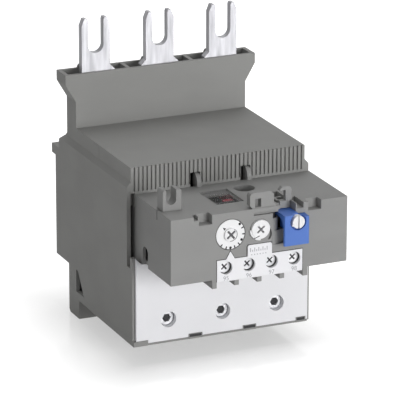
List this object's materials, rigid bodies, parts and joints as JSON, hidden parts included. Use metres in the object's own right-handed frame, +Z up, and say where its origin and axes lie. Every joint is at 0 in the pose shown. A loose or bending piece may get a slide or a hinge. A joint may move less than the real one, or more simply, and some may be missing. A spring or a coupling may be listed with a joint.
{
  "type": "thermal overload relay",
  "caption": "Thermal overload relay for a large contactor: forked busbars on top, boxed bimetal chamber, dial, selector and reset button in front.",
  "frame": {"origin": "centre of the bounding box in plan, at the level of the rear feet", "axes": "+X to the right of someone facing the dials, +Y towards the back, +Z up towards the forks"},
  "size_m": [0.1046, 0.1492, 0.1556],
  "materials": {
    "housing_grey": "fine moulded texture",
    "module_grey": "fine moulded texture",
    "pale_plastic": "satin moulding",
    "white_plastic": "satin moulding",
    "dial_grey": "satin moulding",
    "inner_plastic": "plain moulding",
    "blue_plastic": "smooth moulding",
    "red_plastic": "smooth moulding",
    "clear_plastic": "clear moulded pane",
    "tinned_copper": "matte tin plating",
    "zinc_steel": "zinc plating",
    "spring_steel": "drawn wire",
    "resistance_alloy": "rolled strip",
    "bimetal_strip": "rolled strip",
    "contact_silver": "stamped strip"
  },
  "bodies": {
    "base": {"lower_housing": "housing_grey", "phase_insert": "inner_plastic", "upper_housing": "housing_grey", "module_housing": "module_grey", "outlet_cover": "pale_plastic", "aux_plate": "pale_plastic", "status_window": "clear_plastic", "cable_guide": "module_grey", "inner_frame": "inner_plastic", "module_back": "inner_plastic", "fixed_contacts": "contact_silver", "foot_bar": "zinc_steel", "housing_screws": "zinc_steel", "module_screws": "zinc_steel", "reset_spring": "spring_steel", "aux_washers": "zinc_steel", "aux_contacts": "zinc_steel", "fork_bar_left": "tinned_copper", "bar_foot_left": "tinned_copper", "outlet_bar_left": "tinned_copper", "heater_left": "resistance_alloy", "bimetal_left": "bimetal_strip", "fork_bar_centre": "tinned_copper", "bar_foot_centre": "tinned_copper", "outlet_bar_centre": "tinned_copper", "heater_centre": "resistance_alloy", "bimetal_centre": "bimetal_strip", "fork_bar_right": "tinned_copper", "bar_foot_right": "tinned_copper", "outlet_bar_right": "tinned_copper", "heater_right": "resistance_alloy", "bimetal_right": "bimetal_strip"},
    "slider": {"slider": "inner_plastic"},
    "lever": {"trip_lever": "inner_plastic", "compensator": "bimetal_strip"},
    "carrier": {"contact_carrier": "inner_plastic", "moving_contacts": "contact_silver"},
    "flag": {"trip_flag": "red_plastic"},
    "dial": {"current_dial": "dial_grey", "dial_cam": "inner_plastic"},
    "knob": {"selector_knob": "dial_grey"},
    "button": {"reset_button": "blue_plastic"},
    "stop": {"stop_pin": "white_plastic"},
    "clamp_screw_left": {"clamp_screw_left": "zinc_steel"},
    "box_clamp_left": {"box_clamp_left": "zinc_steel"},
    "clamp_screw_centre": {"clamp_screw_centre": "zinc_steel"},
    "box_clamp_centre": {"box_clamp_centre": "zinc_steel"},
    "clamp_screw_right": {"clamp_screw_right": "zinc_steel"},
    "box_clamp_right": {"box_clamp_right": "zinc_steel"},
    "aux_screw_1": {"aux_screw_1": "zinc_steel"},
    "aux_screw_2": {"aux_screw_2": "zinc_steel"},
    "aux_screw_3": {"aux_screw_3": "zinc_steel"},
    "aux_screw_4": {"aux_screw_4": "zinc_steel"}
  },
  "joints": [
    {"name": "clamp_screw_turn_left", "type": "hinge", "parent": "base", "child": "clamp_screw_left", "pos_m": [-0.0304, -0.02235, 0.0217], "axis": [0, 1, 0], "range_deg": [0, 2161]},
    {"name": "clamp_travel_left", "type": "slide", "parent": "base", "child": "box_clamp_left", "axis": [0, -1, 0], "range_m": [0, 0.0075]},
    {"name": "clamp_screw_turn_centre", "type": "hinge", "parent": "base", "child": "clamp_screw_centre", "pos_m": [-0.0011, -0.02235, 0.0217], "axis": [0, 1, 0], "range_deg": [0, 2161]},
    {"name": "clamp_travel_centre", "type": "slide", "parent": "base", "child": "box_clamp_centre", "axis": [0, -1, 0], "range_m": [0, 0.0075]},
    {"name": "clamp_screw_turn_right", "type": "hinge", "parent": "base", "child": "clamp_screw_right", "pos_m": [0.0282, -0.02235, 0.0217], "axis": [0, 1, 0], "range_deg": [0, 2161]},
    {"name": "clamp_travel_right", "type": "slide", "parent": "base", "child": "box_clamp_right", "axis": [0, -1, 0], "range_m": [0, 0.0075]},
    {"name": "slider_travel", "type": "slide", "parent": "base", "child": "slider", "axis": [1, 0, 0], "range_m": [0, 0.0025], "stiffness_N_per_m": 200, "springref_m": -0.001},
    {"name": "lever_turn", "type": "hinge", "parent": "base", "child": "lever", "pos_m": [0.0365, -0.03235, 0.0592], "axis": [0, 1, 0], "range_deg": [0, 11.6]},
    {"name": "contact_travel", "type": "slide", "parent": "base", "child": "carrier", "axis": [1, 0, 0], "range_m": [0, 0.0021]},
    {"name": "flag_travel", "type": "slide", "parent": "base", "child": "flag", "axis": [-1, 0, 0], "range_m": [0, 0.005]},
    {"name": "dial_turn", "type": "hinge", "parent": "base", "child": "dial", "pos_m": [-0.0132, -0.06035, 0.0749], "axis": [0, 1, 0], "range_deg": [-46, 136]},
    {"name": "knob_turn", "type": "hinge", "parent": "base", "child": "knob", "pos_m": [0.0024, -0.06035, 0.0757], "axis": [0, 1, 0], "range_deg": [-90, 0]},
    {"name": "button_press", "type": "slide", "parent": "base", "child": "button", "axis": [0, 1, 0], "range_m": [0, 0.004], "stiffness_N_per_m": 300, "springref_m": -0.004, "deforming": ["reset_spring"]},
    {"name": "stop_pin_turn", "type": "hinge", "parent": "button", "child": "stop", "pos_m": [0.0203, -0.07035, 0.0784], "axis": [0, 1, 0], "range_deg": [0, 90]},
    {"name": "aux_screw_turn_1", "type": "hinge", "parent": "base", "child": "aux_screw_1", "pos_m": [-0.0155, -0.06035, 0.0581], "axis": [0, 1, 0], "range_deg": [0, 1080]},
    {"name": "aux_screw_turn_2", "type": "hinge", "parent": "base", "child": "aux_screw_2", "pos_m": [-0.0034, -0.06035, 0.0581], "axis": [0, 1, 0], "range_deg": [0, 1080]},
    {"name": "aux_screw_turn_3", "type": "hinge", "parent": "base", "child": "aux_screw_3", "pos_m": [0.0087, -0.06035, 0.0581], "axis": [0, 1, 0], "range_deg": [0, 1080]},
    {"name": "aux_screw_turn_4", "type": "hinge", "parent": "base", "child": "aux_screw_4", "pos_m": [0.0208, -0.06035, 0.0581], "axis": [0, 1, 0], "range_deg": [0, 1080]}
  ],
  "couplings": [
    {"joint": "clamp_screw_turn_left", "follows": "clamp_travel_left", "rad_per_m": 5026.5},
    {"joint": "clamp_screw_turn_centre", "follows": "clamp_travel_centre", "rad_per_m": 5026.5},
    {"joint": "clamp_screw_turn_right", "follows": "clamp_travel_right", "rad_per_m": 5026.5},
    {"joint": "lever_turn", "follows": "slider_travel", "rad_per_m": 80},
    {"joint": "contact_travel", "follows": "slider_travel", "ratio": 0.84},
    {"joint": "flag_travel", "follows": "slider_travel", "ratio": 2}
  ]
}
